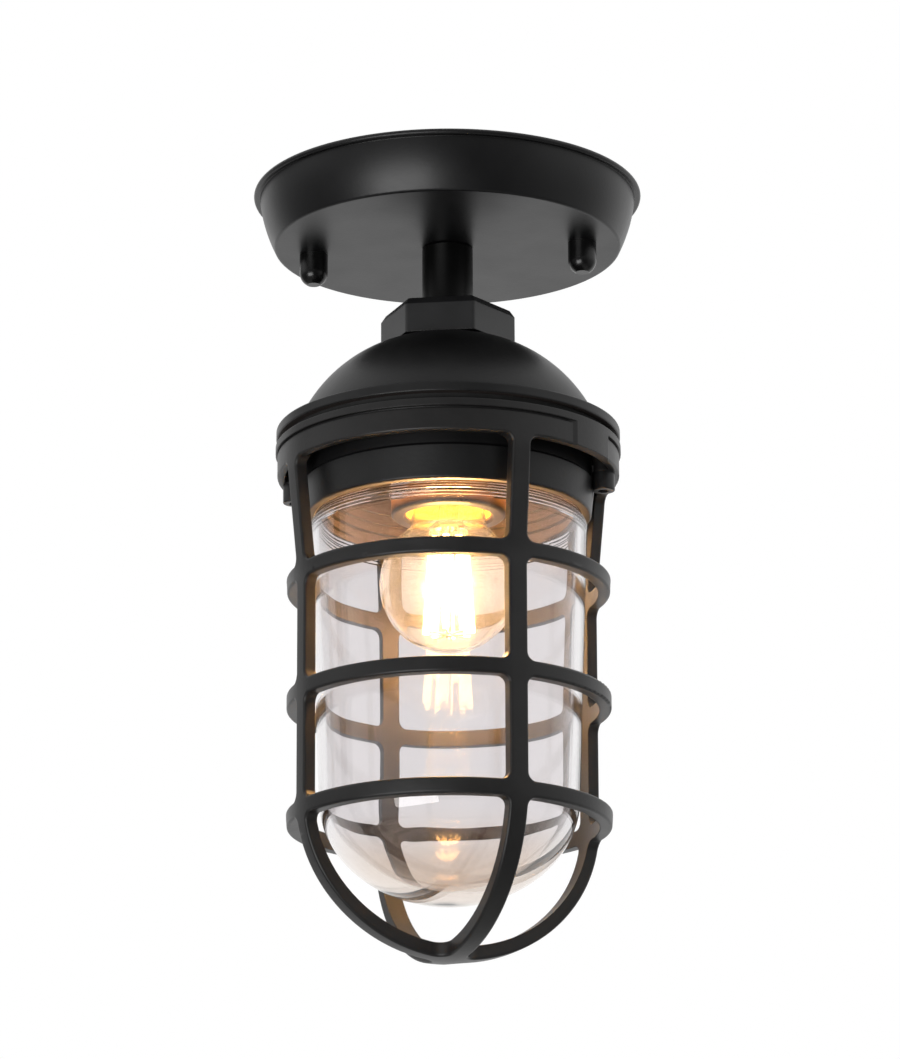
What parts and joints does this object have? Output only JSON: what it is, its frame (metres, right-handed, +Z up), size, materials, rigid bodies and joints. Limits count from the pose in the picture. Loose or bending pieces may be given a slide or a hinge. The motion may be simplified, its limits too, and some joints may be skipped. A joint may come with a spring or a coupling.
{
  "type": "outdoor ceiling light",
  "caption": "Semi-flush outdoor ceiling light: round canopy, short stem, domed housing and a cast cage round a screw-in clear glass jar with a small globe lamp.",
  "frame": {"origin": "the point where the lamp's vertical axis meets the ceiling, midway between the slots of its bracket", "axes": "+Z straight up into the ceiling, +X through both canopy nuts and both cage screws, +Y away from the viewer of the picture"},
  "size_m": [0.13, 0.13, 0.2617],
  "materials": {
    "canopy_coat": "satin",
    "nut_coat": "satin",
    "stem_coat": "satin",
    "hex_coat": "satin",
    "dome_coat": "satin",
    "cage_coat": "satin",
    "screw_coat": "satin",
    "zinc_steel": "satin",
    "ground_brass": "satin",
    "rubber_foam": "matte",
    "black_rubber": "matte",
    "jar_glass": "gloss",
    "holder_black": "satin",
    "shell_brass": "satin",
    "bulb_cap_metal": "satin",
    "insulator_black": "gloss",
    "contact_solder": "satin",
    "bulb_glass": "gloss",
    "mount_glass": "gloss",
    "filament_glow": "satin",
    "wire_metal": "satin"
  },
  "bodies": {
    "fixture": {"canopy": "canopy_coat", "canopy_gasket": "rubber_foam", "mounting_bracket": "zinc_steel", "bracket_studs": "zinc_steel", "cap_nuts": "nut_coat", "ground_screw": "ground_brass", "stem": "stem_coat", "stem_washer": "zinc_steel", "stem_lock_nut": "zinc_steel", "hex_collar": "hex_coat", "dome_housing": "dome_coat", "dome_lock_nut": "zinc_steel", "flange_gasket": "black_rubber", "holder_cap": "zinc_steel", "holder_screws": "zinc_steel", "lamp_holder": "holder_black", "screw_shell": "shell_brass", "centre_contact": "shell_brass"},
    "cage": {"cage": "cage_coat", "cage_screws": "screw_coat"},
    "jar_seal": {"jar_gasket": "black_rubber"},
    "jar": {"glass_jar": "jar_glass"},
    "bulb_tip": {"bulb_contact": "contact_solder"},
    "bulb": {"bulb_cap": "bulb_cap_metal", "bulb_insulator": "insulator_black", "bulb_glass": "bulb_glass", "bulb_mount": "mount_glass", "filaments": "filament_glow", "filament_wires": "wire_metal"}
  },
  "joints": [
    {"name": "cage_lower", "type": "slide", "parent": "fixture", "child": "cage", "axis": [0, 0, -1], "range_m": [0, 0.16]},
    {"name": "jar_lower", "type": "slide", "parent": "fixture", "child": "jar_seal", "axis": [0, 0, -1], "range_m": [0, 0.007]},
    {"name": "jar_turn", "type": "hinge", "parent": "jar_seal", "child": "jar", "pos_m": [0, 0, -0.095], "axis": [0, 0, -1], "range_deg": [0, 720]},
    {"name": "bulb_lower", "type": "slide", "parent": "fixture", "child": "bulb_tip", "axis": [0, 0, -1], "range_m": [0, 0.01452]},
    {"name": "bulb_turn", "type": "hinge", "parent": "bulb_tip", "child": "bulb", "pos_m": [0, 0, -0.1], "axis": [0, 0, -1], "range_deg": [0, 1440]}
  ],
  "couplings": [
    {"joint": "jar_lower", "follows": "jar_turn", "m_per_rad": 0.00055704},
    {"joint": "bulb_lower", "follows": "bulb_turn", "m_per_rad": 0.00057773}
  ]
}
